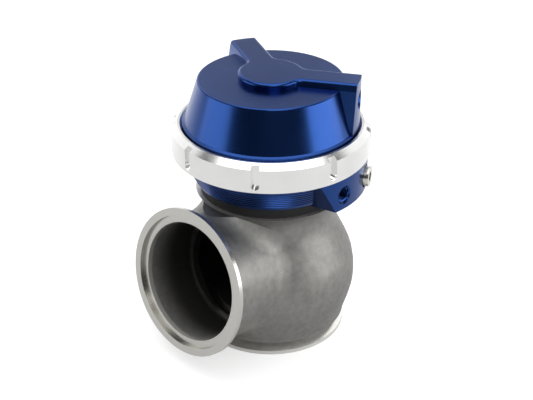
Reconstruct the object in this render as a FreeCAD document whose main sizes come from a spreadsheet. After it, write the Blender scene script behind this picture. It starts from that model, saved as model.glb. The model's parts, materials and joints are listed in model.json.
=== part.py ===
import FreeCAD, Part
import math
import operator
import os

import Sketcher
from FreeCAD import Placement, Rotation, Vector

# External turbo wastegate, built round its valve axis.
# The origin is the centre of the inlet flange's lower face, +Z runs up the valve stem
# and the outlet leaves towards -Y. All lengths are millimetres, all angles degrees.

# How far a cut runs past the face that it opens
OVERRUN = 1.0

# The springs' wire has this many sides, and runs straight from one step to the next
WIRE_SIDES = 8
STEPS_PER_TURN = 18

# Driving sizes, in the order in which the gate is stacked up
SIZES = {
    "Inlet flange": {
        "inlet_rim_radius": 43.1,
        "rim_thickness": 2.3,
        "taper_rise": 2.4,
        "inlet_neck_radius": 38.0,
        "register_radius": 37.6,
        "register_depth": 2.2,
        "inlet_bore_radius": 30.0,
    },
    "Outlet": {
        "outlet_height": 40.9,
        "outlet_tilt": 9.2,
        "outlet_length": 67.3,
        "outlet_rim_radius": 41.8,
        "outlet_neck_radius": 36.6,
        "outlet_bore_radius": 33.5,
        "outlet_bore_start": 20.0,
        "neck_blend": 17.0,
    },
    "Cast valve body": {
        "foot_radius": 43.0,
        "foot_height": 9.7,
        "foot_land": 1.6,
        "foot_lip_rise": 1.7,
        "belly_radius": 52.0,
        "belly_height": 38.5,
        "belly_round": 45.0,
        "waist_radius": 36.4,
        "waist_height": 69.5,
        "waist_round": 14.0,
        "deck_radius": 42.1,
        "deck_height": 87.3,
        "flare_rise": 13.0,
        "side_runout": 20.0,
        "belly_wall": 7.0,
        "chamber_round": 25.0,
        "dome_radius": 29.5,
        "dome_height": 68.0,
        "deck_thickness": 10.3,
    },
    "Seat and valve": {
        "seat_outer_radius": 35.0,
        "seat_inner_radius": 28.0,
        "seat_shelf": 9.0,
        "seat_height": 6.0,
        "seat_chamfer": 2.6,
        "seat_gap": 0.3,
        "valve_margin": 1.8,
        "stem_radius": 4.75,
        "stem_fillet": 9.0,
        "stem_thread_radius": 3.95,
    },
    "Stem guide": {
        "guide_radius": 8.0,
        "guide_flange_radius": 10.5,
        "guide_flange": 2.0,
        "guide_bottom": 58.0,
        "guide_boss_radius": 12.5,
        "guide_boss_bottom": 61.0,
        "guide_recess": 5.3,
        "running_gap": 0.05,
        "press_gap": 0.02,
    },
    "Insulated neck": {
        "spacer_radius": 39.6,
        "spacer_hole_radius": 13.0,
        "gasket_thickness": 0.6,
        "spacer_thickness": 5.6,
    },
    "Lower housing": {
        "housing_foot_radius": 42.2,
        "housing_top_radius": 50.7,
        "housing_taper": 16.8,
        "housing_land": 5.1,
        "chamber_radius": 40.0,
        "floor_thickness": 3.9,
        "groove_first": 2.0,
        "groove_pitch": 1.6,
        "groove_width": 0.9,
        "groove_depth": 0.55,
        "groove_count": 9,
        "port_boss_radius": 54.1,
        "port_boss_azimuth": 14.5,
        "port_boss_drop": 1.8,
        "port_boss_foot": 38.0,
        "port_boss_head": 57.0,
        "stem_seal_radius": 7.4,
        "stem_seal_height": 2.2,
        "stem_hole_gap": 0.4,
    },
    "Housing bolts": {
        "bolt_circle_radius": 31.0,
        "bolt_count": 6,
        "bolt_radius": 3.0,
        "bolt_head_radius": 5.0,
        "bolt_head_height": 6.0,
        "bolt_key_width": 5.0,
        "bolt_thread_depth": 8.0,
        "bolt_hole_gap": 0.3,
        "bolt_tip_gap": 0.5,
        "thread_gap": 0.05,
    },
    "Ports": {
        "port_radius": 4.35,
        "port_depth": 11.0,
        "port_passage_radius": 3.0,
        "port_mouth_radius": 5.4,
        "port_mouth_depth": 1.1,
        "lower_port_rise": 6.5,
        "open_port_azimuth": 1.0,
        "plugged_port_azimuth": 28.0,
        "upper_port_drop": 7.8,
        "plug_flange_radius": 5.8,
        "plug_flange": 3.4,
        "plug_key_width": 5.0,
        "plug_key_depth": 4.5,
        "plug_end_gap": 1.0,
        "plug_washer": 0.8,
        "spot_face_radius": 6.6,
        "spot_face_drop": 1.6,
    },
    "Diaphragm stack": {
        "diaphragm_thickness": 1.5,
        "diaphragm_rim": 2.0,
        "diaphragm_radius": 49.8,
        "convolution_radius": 41.0,
        "plate_radius": 33.0,
        "plate_thickness": 2.0,
        "plate_drop": 6.5,
        "washer_radius": 9.0,
        "washer_thickness": 1.5,
        "nut_width": 13.0,
        "nut_height": 6.5,
        "stem_end": 2.0,
        "seat_lip": 1.6,
        "seat_lip_rise": 2.5,
    },
    "Springs": {
        "outer_spring_radius": 28.0,
        "outer_wire": 3.8,
        "outer_turns": 4.0,
        "middle_spring_radius": 21.0,
        "middle_wire": 3.2,
        "middle_turns": 4.5,
        "inner_spring_radius": 14.8,
        "inner_wire": 2.6,
        "inner_turns": 5.5,
        "closed_turns": 0.75,
        "closed_gap": 0.2,
        "locator_radius": 33.0,
        "locator_thickness": 1.5,
        "locator_hole_radius": 10.0,
        "locator_rib_radius": 17.2,
        "locator_rib": 1.0,
        "locator_rib_drop": 2.5,
    },
    "Cap": {
        "cap_flange_radius": 50.5,
        "cap_flange": 4.0,
        "cap_base_radius": 48.8,
        "cap_base_rise": 5.9,
        "cap_cone_radius": 47.4,
        "cap_top_radius": 39.9,
        "cap_cone_height": 24.3,
        "cap_step": 0.7,
        "cap_top_round": 1.0,
        "cap_roof": 4.7,
        "cap_wall": 4.6,
        "pad_radius": 18.0,
        "pad_height": 4.1,
        "pad_edge": 1.7,
        "arm_top_width": 14.7,
        "arm_width": 16.6,
        "arm_foot_width": 25.0,
        "arm_blend": 5.0,
        "first_arm_azimuth": 31.0,
        "second_arm_azimuth": 153.0,
        "dowel_radius": 1.5,
        "dowel_circle_radius": 45.4,
        "dowel_reach": 3.0,
        "dowel_end_gap": 0.3,
    },
    "Locking collar": {
        "collar_radius": 55.0,
        "collar_foot_gap": 0.3,
        "collar_bevel": 2.8,
        "collar_lip": 5.0,
        "collar_land_radius": 51.4,
        "collar_lip_gap": 0.7,
        "collar_lip_chamfer": 0.6,
        "collar_thread_gap": 0.08,
        "collar_face_gap": 0.2,
        "slot_count": 8,
        "slot_width": 4.5,
        "slot_depth": 2.4,
        "slot_end_rise": 1.7,
        "slot_azimuth": -9.4,
    },
}


def combine(sign, left, right):
    """Join two sizes with one of + - * / and keep both the formula and the number."""
    left, right = as_size(left), as_size(right)
    work = {"+": operator.add, "-": operator.sub, "*": operator.mul, "/": operator.truediv}[sign]
    return Size(f"({left.formula} {sign} {right.formula})", work(left.value, right.value))


def smallest(left, right):
    """The lesser of two sizes, as a formula and a number."""
    left, right = as_size(left), as_size(right)
    return Size(f"min({left.formula}; {right.formula})", min(left.value, right.value))


def as_size(number):
    """A plain number becomes a size whose formula is that number."""
    return number if isinstance(number, Size) else Size(f"({number})", float(number))


class Size:
    """A size of the sheet, or one worked out from such sizes, with the formula that gives it."""

    def __init__(self, formula, value):
        self.formula = formula
        self.value = value

    def __add__(self, other):
        return combine("+", self, other)

    def __radd__(self, other):
        return combine("+", other, self)

    def __sub__(self, other):
        return combine("-", self, other)

    def __rsub__(self, other):
        return combine("-", other, self)

    def __mul__(self, other):
        return combine("*", self, other)

    def __rmul__(self, other):
        return combine("*", other, self)

    def __truediv__(self, other):
        return combine("/", self, other)

    def __rtruediv__(self, other):
        return combine("/", other, self)

    def __neg__(self):
        return combine("*", -1, self)


def sine(angle):
    """The sine of an angle of the sheet."""
    angle = as_size(angle)
    return Size(f"sin({angle.formula})", math.sin(math.radians(angle.value)))


def cosine(angle):
    """The cosine of an angle of the sheet."""
    angle = as_size(angle)
    return Size(f"cos({angle.formula})", math.cos(math.radians(angle.value)))


class Sheet:
    """Writes the driving sizes into the sheet and gives each back as a Size by its name."""

    def __init__(self, doc, groups):
        self.cells = doc.addObject("Spreadsheet::Sheet", "Sizes")
        row = 1
        for title, sizes in groups.items():
            self.cells.set(f"A{row}", title)
            row += 1
            for name, value in sizes.items():
                self.cells.set(f"A{row}", name)
                self.cells.set(f"B{row}", str(value))
                self.cells.setAlias(f"B{row}", name)
                setattr(self, name, Size(f"Sizes.{name}", float(value)))
                row += 1


doc = FreeCAD.newDocument("Wastegate")
s = Sheet(doc, SIZES)
doc.recompute()


# Helpers for bodies and sketches

def new_body(node):
    """A sub-part: its label is the name of the piece."""
    body = doc.addObject("PartDesign::Body", node)
    body.Label = node
    return body


def origin_part(body, role):
    """A plane or axis of the body's own origin."""
    return next(part for part in body.Origin.OriginFeatures if part.Role == role)


def bind(thing, path, size):
    """Tie one property to the sheet."""
    thing.setExpression(path, as_size(size).formula)


def new_sketch(body, role, name, lift=None, height=None, turn=None, axis=None):
    """A sketch on an origin plane: lifted along its normal, raised along its own Y,
    or turned about one of its axes."""
    sketch = body.newObject("Sketcher::SketchObject", name)
    sketch.AttachmentSupport = [(origin_part(body, role), "")]
    sketch.MapMode = "FlatFace"
    base = Vector(0, as_size(height or 0).value, as_size(lift or 0).value)
    rotation = Rotation(axis or Vector(0, 0, 1), as_size(turn or 0).value)
    sketch.AttachmentOffset = Placement(base, rotation)
    if height is not None:
        bind(sketch, "AttachmentOffset.Base.y", height)
    if lift is not None:
        bind(sketch, "AttachmentOffset.Base.z", lift)
    return sketch


def outline(sketch, corners, cove=None):
    """A closed outline of straight edges, each corner held by its two sizes.
    The edge numbered by cove is a hollow arc instead, upright at its second corner."""
    points = [(as_size(x), as_size(y)) for x, y in corners]
    first = sketch.GeometryCount
    ends = [Vector(x.value, y.value, 0) for x, y in points]
    for number, (start, end) in enumerate(zip(ends, ends[1:] + ends[:1])):
        shape = hollow_arc(start, end) if number == cove else Part.LineSegment(start, end)
        sketch.addGeometry(shape)
    last = first + len(points) - 1
    for number, (x, y) in enumerate(points):
        edge = first + number
        before = edge - 1 if number else last
        sketch.addConstraint(Sketcher.Constraint("Coincident", before, 2, edge, 1))
        for kind, size in (("DistanceX", x), ("DistanceY", y)):
            hold(sketch, kind, edge, 1, size)
    if cove is not None:
        foot = points[cove + 1]
        hold(sketch, "DistanceY", first + cove, 3, foot[1])
    return sketch


def hollow_arc(start, end):
    """The arc from a start that hangs out over its end, where it stands upright."""
    step = start - end
    radius = (step.x ** 2 + step.y ** 2) / (2 * step.x)
    centre = end + Vector(radius, 0, 0)
    towards = start - centre
    rim = Part.Circle(centre, Vector(0, 0, 1), radius)
    return Part.ArcOfCircle(rim, math.atan2(towards.y, towards.x), math.pi)


def hold(sketch, kind, edge, point, size):
    """Hold one coordinate of a point at a size, or on the axis where the size is zero."""
    if size.value == 0 and size.formula == "(0)":
        axis = -2 if kind == "DistanceX" else -1
        sketch.addConstraint(Sketcher.Constraint("PointOnObject", edge, point, axis))
        return
    number = sketch.addConstraint(Sketcher.Constraint(kind, -1, 1, edge, point, size.value))
    bind(sketch, f"Constraints[{number}]", size)


def circle(sketch, x, y, radius):
    """A circle held by the place of its centre and its radius."""
    x, y, radius = as_size(x), as_size(y), as_size(radius)
    edge = sketch.addGeometry(Part.Circle(Vector(x.value, y.value, 0), Vector(0, 0, 1), radius.value))
    for kind, size in (("DistanceX", x), ("DistanceY", y)):
        hold(sketch, kind, edge, 3, size)
    number = sketch.addConstraint(Sketcher.Constraint("Radius", edge, radius.value))
    bind(sketch, f"Constraints[{number}]", radius)
    return sketch


def hexagon(sketch, width):
    """A hexagon about the origin, measured across its flats."""
    side = width / math.sqrt(3)
    half = width / 2
    corners = [(side, 0), (side / 2, half), (-(side / 2), half),
               (-side, 0), (-(side / 2), -half), (side / 2, -half)]
    return outline(sketch, corners)


def revolve(body, kind, name, sketch, axis):
    """Turn a sketch about one of its own axes, to add or to cut."""
    feature = body.newObject(f"PartDesign::{kind}", name)
    feature.Profile = sketch
    feature.ReferenceAxis = (sketch, [axis])
    feature.Angle = 360
    doc.recompute()
    return feature


def turn_on(body, name, corners):
    """Add material turned about the valve axis."""
    sketch = outline(new_sketch(body, "XZ_Plane", f"{name}_outline"), corners)
    return revolve(body, "Revolution", name, sketch, "V_Axis")


def turn_off(body, name, corners):
    """Cut away a ring or recess turned about the valve axis."""
    sketch = outline(new_sketch(body, "XZ_Plane", f"{name}_outline"), corners)
    return revolve(body, "Groove", name, sketch, "V_Axis")


def turned(node, corners):
    """A sub-part that is one turned outline."""
    body = new_body(node)
    turn_on(body, f"{node}_turning", corners)
    return body


def radial_plane(body, name, azimuth, height):
    """A sketch whose X axis runs out from the valve axis at an azimuth and a height."""
    sketch = new_sketch(body, "XZ_Plane", name, height=height, turn=azimuth, axis=Vector(0, 1, 0))
    bind(sketch, "AttachmentOffset.Rotation.Angle", azimuth)
    return sketch


def bore_out(body, name, azimuth, height, steps):
    """Cut a stepped hole about a radial axis. The steps are (distance out, radius)."""
    sketch = radial_plane(body, f"{name}_outline", azimuth, height)
    outline(sketch, [(steps[0][0], 0)] + steps + [(steps[-1][0], 0)])
    return revolve(body, "Groove", name, sketch, "H_Axis")


def drill(body, name, sketch, depth):
    """Cut a sketch down into the body, against the sketch's normal."""
    pocket = body.newObject("PartDesign::Pocket", name)
    pocket.Profile = sketch
    pocket.Length = as_size(depth).value
    bind(pocket, "Length", depth)
    doc.recompute()
    return pocket


def raise_pad(body, name, sketch, length):
    """Add a sketch along its normal."""
    pad = body.newObject("PartDesign::Pad", name)
    pad.Profile = sketch
    pad.Length = as_size(length).value
    bind(pad, "Length", length)
    doc.recompute()
    return pad


def repeat_round(body, name, features, count):
    """Repeat features evenly round the valve axis."""
    pattern = body.newObject("PartDesign::PolarPattern", name)
    pattern.Originals = features
    pattern.Axis = (origin_part(body, "Z_Axis"), [""])
    pattern.Angle = 360
    pattern.Occurrences = int(count.value)
    bind(pattern, "Occurrences", count)
    body.Tip = pattern
    doc.recompute()
    return pattern


def ring_edges(shape, rings):
    """The names of the round edges that have these radii at these heights."""
    found = []
    for number, edge in enumerate(shape.Edges, start=1):
        if not isinstance(edge.Curve, Part.Circle):
            continue
        for radius, height in rings:
            same_radius = abs(edge.Curve.Radius - radius.value) < 0.01
            same_height = abs(edge.Curve.Center.z - height.value) < 0.01
            if same_radius and same_height:
                found.append(f"Edge{number}")
    return found


def soften(body, name, radius, edges, kind="Fillet"):
    """Round or chamfer named edges of the body as it stands."""
    base = body.Tip
    feature = body.newObject(f"PartDesign::{kind}", name)
    feature.Base = (base, edges)
    path = "Radius" if kind == "Fillet" else "Size"
    setattr(feature, path, as_size(radius).value)
    bind(feature, path, radius)
    doc.recompute()
    return feature


def round_rings(body, name, radius, rings, kind="Fillet"):
    """Round or chamfer the turned edges at these radii and heights."""
    rings = [(as_size(r), as_size(z)) for r, z in rings]
    return soften(body, name, radius, ring_edges(body.Tip.Shape, rings), kind)


# Heights that several pieces share
seat_top = s.seat_shelf + s.seat_height
guide_shelf = s.deck_height - s.guide_recess
spacer_bottom = s.deck_height + s.gasket_thickness
spacer_top = spacer_bottom + s.spacer_thickness
housing_bottom = spacer_top + s.gasket_thickness
floor_top = housing_bottom + s.floor_thickness
housing_land_bottom = housing_bottom + s.housing_taper
housing_top = housing_land_bottom + s.housing_land
lower_port_height = housing_bottom + s.lower_port_rise
rim_top = housing_top + s.diaphragm_rim
cap_flange_top = rim_top + s.cap_flange
plate_bottom = housing_top - s.plate_drop
diaphragm_bottom = plate_bottom + s.plate_thickness
upper_plate_bottom = diaphragm_bottom + s.diaphragm_thickness
upper_plate_top = upper_plate_bottom + s.plate_thickness
washer_top = upper_plate_top + s.washer_thickness
nut_top = washer_top + s.nut_height
stem_top = nut_top + s.stem_end
cap_base_top = cap_flange_top + s.cap_base_rise
cap_top = cap_base_top + s.cap_cone_height
cap_ceiling = cap_top - s.cap_roof
pad_top = cap_top + s.pad_height
upper_port_height = cap_top - s.upper_port_drop
spring_top = cap_ceiling - s.locator_thickness
collar_bottom = housing_land_bottom + s.collar_foot_gap
collar_lip_bottom = cap_flange_top + s.collar_face_gap
collar_top = collar_lip_bottom + s.collar_lip
collar_shoulder = collar_top - s.collar_bevel


def run_on(start, end, height):
    """The point at a height on the line through two points of an outline."""
    slope = (end[0] - start[0]) / (end[1] - start[1])
    return (start[0] + slope * (height - start[1]), height)


def make_valve_body():
    """Cast body: a belly over the inlet flange, a waist, a bolting deck and a side outlet."""
    body = new_body("valve_body")
    belly = (s.belly_radius, s.belly_height)
    waist = (s.waist_radius, s.waist_height)
    foot = run_on(belly, (s.foot_radius, s.foot_height), s.foot_height - s.side_runout)
    brim = (s.waist_radius, s.deck_height + s.side_runout)
    turn_on(body, "barrel", [(0, foot[1]), foot, belly, waist, brim, (0, brim[1])])
    round_rings(body, "belly_rounding", s.belly_round, [belly])
    round_rings(body, "waist_rounding", s.waist_round, [waist])
    flange_back = s.outlet_length - s.rim_thickness
    taper_start = flange_back - s.taper_rise
    neck_sketch = outline(outlet_plane(body, "outlet_neck_outline"), [
        (0, 0), (taper_start, 0), (taper_start, s.outlet_neck_radius), (0, s.outlet_neck_radius)])
    revolve(body, "Revolution", "outlet_neck", neck_sketch, "H_Axis")
    neck_blend = smallest(s.neck_blend, s.belly_radius / 3)
    soften(body, "neck_blend", neck_blend, meeting_edges(body.Tip.Shape))
    reach = s.belly_radius + s.neck_blend
    turn_off(body, "deck_face", [
        (0, s.deck_height), (reach, s.deck_height), (reach, brim[1] + OVERRUN), (0, brim[1] + OVERRUN)])
    turn_off(body, "foot_face", [
        (0, foot[1] - OVERRUN), (reach, foot[1] - OVERRUN), (reach, s.foot_height), (0, s.foot_height)])
    flare_foot = s.deck_height - s.flare_rise
    flare_sketch = new_sketch(body, "XZ_Plane", "deck_flare_outline")
    outline(flare_sketch, cove=1, corners=[
        (0, s.deck_height), (s.deck_radius, s.deck_height), (s.waist_radius, flare_foot), (0, flare_foot)])
    revolve(body, "Revolution", "deck_flare", flare_sketch, "V_Axis")

    flange_top = s.rim_thickness + s.taper_rise
    land_bottom = s.foot_height - s.foot_land
    turn_on(body, "inlet_flange", [
        (0, 0),
        (s.inlet_rim_radius, 0),
        (s.inlet_rim_radius, s.rim_thickness),
        (s.inlet_neck_radius, flange_top),
        (s.inlet_neck_radius, land_bottom - s.foot_lip_rise),
        (s.foot_radius, land_bottom),
        (s.foot_radius, s.foot_height),
        (0, s.foot_height),
    ])
    flange_sketch = outline(outlet_plane(body, "outlet_flange_outline"), [
        (taper_start, 0),
        (s.outlet_length, 0),
        (s.outlet_length, s.outlet_rim_radius),
        (flange_back, s.outlet_rim_radius),
        (taper_start, s.outlet_neck_radius),
    ])
    revolve(body, "Revolution", "outlet_flange", flange_sketch, "H_Axis")

    turn_off(body, "gas_chamber", [
        (0, -OVERRUN),
        (s.register_radius, -OVERRUN),
        (s.register_radius, s.register_depth),
        (s.inlet_bore_radius, s.register_depth),
        (s.inlet_bore_radius, s.seat_shelf),
        (s.seat_outer_radius, s.seat_shelf),
        (s.seat_outer_radius, seat_top),
        (s.belly_radius - s.belly_wall, s.belly_height),
        (s.dome_radius, s.dome_height),
        (s.guide_boss_radius, s.deck_height - s.deck_thickness),
        (s.guide_boss_radius, s.guide_boss_bottom),
        (0, s.guide_boss_bottom),
    ])
    chamber_belly = (s.belly_radius - s.belly_wall, s.belly_height)
    round_rings(body, "chamber_rounding", s.chamber_round, [chamber_belly])
    bore_sketch = outlet_plane(body, "outlet_bore_outline")
    register_end = s.outlet_length - s.register_depth
    outline(bore_sketch, [
        (s.outlet_bore_start, 0),
        (s.outlet_length + OVERRUN, 0),
        (s.outlet_length + OVERRUN, s.register_radius),
        (register_end, s.register_radius),
        (register_end, s.outlet_bore_radius),
        (s.outlet_bore_start, s.outlet_bore_radius),
    ])
    revolve(body, "Groove", "outlet_bore", bore_sketch, "H_Axis")

    turn_off(body, "guide_bore", [
        (0, s.guide_boss_bottom - OVERRUN),
        (s.guide_radius + s.press_gap, s.guide_boss_bottom - OVERRUN),
        (s.guide_radius + s.press_gap, guide_shelf),
        (s.guide_flange_radius + s.press_gap, guide_shelf),
        (s.guide_flange_radius + s.press_gap, s.deck_height + OVERRUN),
        (0, s.deck_height + OVERRUN),
    ])
    hole_sketch = new_sketch(body, "XY_Plane", "bolt_hole_outline", lift=s.deck_height)
    circle(hole_sketch, s.bolt_circle_radius, 0, s.bolt_radius + s.thread_gap)
    hole = drill(body, "bolt_hole", hole_sketch, s.bolt_thread_depth)
    repeat_round(body, "bolt_holes", [hole], s.bolt_count)
    return body


def meeting_edges(shape):
    """The names of the edges where the outlet's neck meets the barrel, which climb as they go round."""
    found = []
    for number, edge in enumerate(shape.Edges, start=1):
        plain = isinstance(edge.Curve, (Part.Circle, Part.Line))
        if not plain and edge.BoundBox.ZLength > s.neck_blend.value:
            found.append(f"Edge{number}")
    return found


def outlet_plane(body, name):
    """A sketch whose X axis is the tilted axis of the outlet."""
    tilt = 180 - s.outlet_tilt
    sketch = new_sketch(body, "YZ_Plane", name, height=s.outlet_height, turn=tilt)
    bind(sketch, "AttachmentOffset.Rotation.Angle", tilt)
    return sketch


def make_valve_seat():
    """Hard ring pressed on the shelf of the inlet bore, with a 45 degree seating face."""
    outer = s.seat_outer_radius - s.press_gap
    return turned("valve_seat", [
        (s.seat_inner_radius, s.seat_shelf),
        (outer, s.seat_shelf),
        (outer, seat_top),
        (s.seat_inner_radius + s.seat_chamfer, seat_top),
        (s.seat_inner_radius, seat_top - s.seat_chamfer),
    ])


def make_valve():
    """Poppet valve: a coned head, a tulip fillet, a guided stem and a threaded end."""
    head_radius = s.seat_inner_radius + s.seat_chamfer
    head_bottom = seat_top - s.seat_chamfer + s.seat_gap
    head_top = seat_top + s.seat_gap + s.valve_margin
    body = turned("valve", [
        (0, head_bottom),
        (s.seat_inner_radius, head_bottom),
        (head_radius, seat_top + s.seat_gap),
        (head_radius, head_top),
        (s.stem_radius, head_top + s.valve_margin),
        (s.stem_radius, plate_bottom),
        (s.stem_thread_radius, plate_bottom),
        (s.stem_thread_radius, stem_top),
        (0, stem_top),
    ])
    round_rings(body, "tulip", s.stem_fillet, [(s.stem_radius, head_top + s.valve_margin)])
    return body


def make_valve_guide():
    """Flanged bush pressed into the deck, reaching down into the gas chamber."""
    bore = s.stem_radius + s.running_gap
    return turned("valve_guide", [
        (bore, s.guide_bottom),
        (s.guide_radius, s.guide_bottom),
        (s.guide_radius, guide_shelf),
        (s.guide_flange_radius, guide_shelf),
        (s.guide_flange_radius, guide_shelf + s.guide_flange),
        (bore, guide_shelf + s.guide_flange),
    ])


def flat_ring(node, inner, outer, bottom, top):
    """A plain ring, turned from its four corners."""
    return turned(node, [(inner, bottom), (outer, bottom), (outer, top), (inner, top)])


def make_stem_scraper():
    """Carbon ring on the guide's flange, which keeps gas and soot out of the chamber above."""
    bottom = guide_shelf + s.guide_flange
    inner = s.stem_radius + s.running_gap
    return flat_ring("stem_scraper", inner, s.guide_flange_radius, bottom, s.deck_height)


def bolted_ring(node, bottom, top):
    """A ring of the insulated neck, with a clearance hole for each housing bolt."""
    body = flat_ring(node, s.spacer_hole_radius, s.spacer_radius, bottom, top)
    hole_sketch = new_sketch(body, "XY_Plane", f"{node}_hole_outline", lift=top)
    circle(hole_sketch, s.bolt_circle_radius, 0, s.bolt_radius + s.bolt_hole_gap)
    hole = drill(body, f"{node}_hole", hole_sketch, top - bottom + OVERRUN)
    repeat_round(body, f"{node}_holes", [hole], s.bolt_count)
    return body


def make_lower_housing():
    """Anodised housing: a grooved taper, a port boss, the lower pressure chamber and a rim."""
    body = new_body("lower_housing")
    turn_on(body, "taper", [(0, housing_bottom)] + grooved_side() + [
        (s.housing_top_radius, housing_land_bottom),
        (s.housing_top_radius, housing_top),
        (0, housing_top),
    ])
    boss_bottom = housing_bottom - s.port_boss_drop
    radial_sector(body, "port_boss", s.port_boss_azimuth, [
        (-(s.port_boss_foot / 2), boss_bottom),
        (s.port_boss_foot / 2, boss_bottom),
        (s.port_boss_head / 2, housing_land_bottom),
        (-(s.port_boss_head / 2), housing_land_bottom),
    ], s.port_boss_radius, boss_bottom - OVERRUN, housing_land_bottom + OVERRUN)
    turn_off(body, "boss_relief", [
        (0, boss_bottom - OVERRUN),
        (s.spacer_radius + OVERRUN, boss_bottom - OVERRUN),
        (s.spacer_radius + OVERRUN, housing_bottom),
        (0, housing_bottom),
    ])
    seal_bottom = housing_bottom + (s.floor_thickness - s.stem_seal_height) / 2
    seal_radius = s.stem_seal_radius + s.press_gap
    stem_hole = s.stem_radius + s.stem_hole_gap
    turn_off(body, "lower_chamber", [
        (0, housing_bottom - OVERRUN),
        (stem_hole, housing_bottom - OVERRUN),
        (stem_hole, seal_bottom),
        (seal_radius, seal_bottom),
        (seal_radius, seal_bottom + s.stem_seal_height),
        (stem_hole, seal_bottom + s.stem_seal_height),
        (stem_hole, floor_top),
        (s.chamber_radius, floor_top),
        (s.chamber_radius, housing_top + OVERRUN),
        (0, housing_top + OVERRUN),
    ])
    hole_sketch = new_sketch(body, "XY_Plane", "bolt_hole_outline", lift=floor_top)
    circle(hole_sketch, s.bolt_circle_radius, 0, s.bolt_radius + s.bolt_hole_gap)
    hole = drill(body, "bolt_hole", hole_sketch, s.floor_thickness + OVERRUN)
    repeat_round(body, "bolt_holes", [hole], s.bolt_count)
    open_port(body, "open_port", s.open_port_azimuth, lower_port_height,
              s.port_boss_radius, s.chamber_radius - OVERRUN)
    face = s.port_boss_radius - s.spot_face_drop
    bore_out(body, "plugged_port", s.plugged_port_azimuth, lower_port_height, [
        (s.chamber_radius - OVERRUN, s.port_passage_radius),
        (face - s.port_depth, s.port_passage_radius),
        (face - s.port_depth, s.port_radius),
        (face, s.port_radius),
        (face, s.spot_face_radius),
        (s.port_boss_radius + OVERRUN, s.spot_face_radius),
    ])
    return dowel_holes(body, housing_top + OVERRUN, s.dowel_reach + OVERRUN)


def grooved_side():
    """The taper's outline up its side, with one V for each cooling groove."""
    rise = housing_land_bottom - housing_bottom
    slope = (s.housing_top_radius - s.housing_foot_radius) / rise
    corners = [(s.housing_foot_radius, housing_bottom)]
    for number in range(int(s.groove_count.value)):
        start = s.groove_first + s.groove_pitch * number
        half = s.groove_width / 2
        for climb, depth in ((start, 0), (start + half, s.groove_depth), (start + s.groove_width, 0)):
            corners.append((s.housing_foot_radius + slope * climb - depth, housing_bottom + climb))
    return corners


def radial_sector(body, name, azimuth, corners, radius, bottom, top):
    """Pad an outline out from the valve axis at an azimuth, then turn its end to a radius."""
    sketch = new_sketch(body, "YZ_Plane", f"{name}_outline", turn=azimuth, axis=Vector(0, 1, 0))
    bind(sketch, "AttachmentOffset.Rotation.Angle", azimuth)
    outline(sketch, corners)
    raise_pad(body, name, sketch, radius * 1.2)
    outside = radius * 1.5
    return turn_off(body, f"{name}_end", [
        (radius, bottom), (outside, bottom), (outside, top), (radius, top)])


def open_port(body, name, azimuth, height, face, inside):
    """A pipe-threaded port drilled in from a round face to the chamber behind it."""
    return bore_out(body, name, azimuth, height, [
        (inside, s.port_passage_radius),
        (face - s.port_depth, s.port_passage_radius),
        (face - s.port_depth, s.port_radius),
        (face - s.port_mouth_depth, s.port_radius),
        (face, s.port_mouth_radius),
        (face + OVERRUN, s.port_mouth_radius),
    ])


def dowel_places():
    """Centres of the two dowels, one each side of the valve axis."""
    return [s.dowel_circle_radius, -s.dowel_circle_radius]


def dowel_holes(body, top, depth):
    """Blind holes for the dowels that line the cap up with the housing."""
    sketch = new_sketch(body, "XY_Plane", "dowel_hole_outline", lift=top)
    for place in dowel_places():
        circle(sketch, 0, place, s.dowel_radius + s.press_gap)
    drill(body, "dowel_hole", sketch, depth)
    return body


def make_stem_seal():
    """Square-section ring in the housing floor, running on the stem."""
    bottom = housing_bottom + (s.floor_thickness - s.stem_seal_height) / 2
    return flat_ring("stem_seal", s.stem_radius + s.running_gap, s.stem_seal_radius,
                     bottom, bottom + s.stem_seal_height)


def make_housing_bolt(number):
    """Socket-head screw that clamps the housing and the insulated neck to the deck."""
    node = f"housing_bolt_{number + 1}"
    head_top = floor_top + s.bolt_head_height
    tip = s.deck_height - s.bolt_thread_depth + s.bolt_tip_gap
    body = turned(node, [
        (0, tip),
        (s.bolt_radius, tip),
        (s.bolt_radius, floor_top),
        (s.bolt_head_radius, floor_top),
        (s.bolt_head_radius, head_top),
        (0, head_top),
    ])
    key_sketch = new_sketch(body, "XY_Plane", f"{node}_key_outline", lift=head_top)
    hexagon(key_sketch, s.bolt_key_width)
    drill(body, f"{node}_key", key_sketch, s.bolt_head_height / 2)
    azimuth = 360.0 * number / s.bolt_count
    bind(body, "Placement.Base.x", s.bolt_circle_radius * cosine(azimuth))
    bind(body, "Placement.Base.y", s.bolt_circle_radius * sine(azimuth))
    return body


def make_port_plug():
    """Plug with a socket head, screwed into the second port of the boss."""
    body = new_body("port_plug")
    face = s.port_boss_radius - s.spot_face_drop
    shank = s.port_radius - s.thread_gap
    head_start = face + s.plug_washer
    head_end = head_start + s.plug_flange
    sketch = radial_plane(body, "plug_outline", s.plugged_port_azimuth, lower_port_height)
    tip = face - s.port_depth + s.plug_end_gap
    outline(sketch, [
        (tip, 0),
        (tip, shank),
        (head_start, shank),
        (head_start, s.plug_flange_radius),
        (head_end, s.plug_flange_radius),
        (head_end, 0),
    ])
    revolve(body, "Revolution", "plug_turning", sketch, "H_Axis")
    key_sketch = facing_plane(body, "plug_key_outline", s.plugged_port_azimuth, head_end, lower_port_height)
    hexagon(key_sketch, s.plug_key_width)
    drill(body, "plug_key", key_sketch, s.plug_key_depth)
    return body


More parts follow.
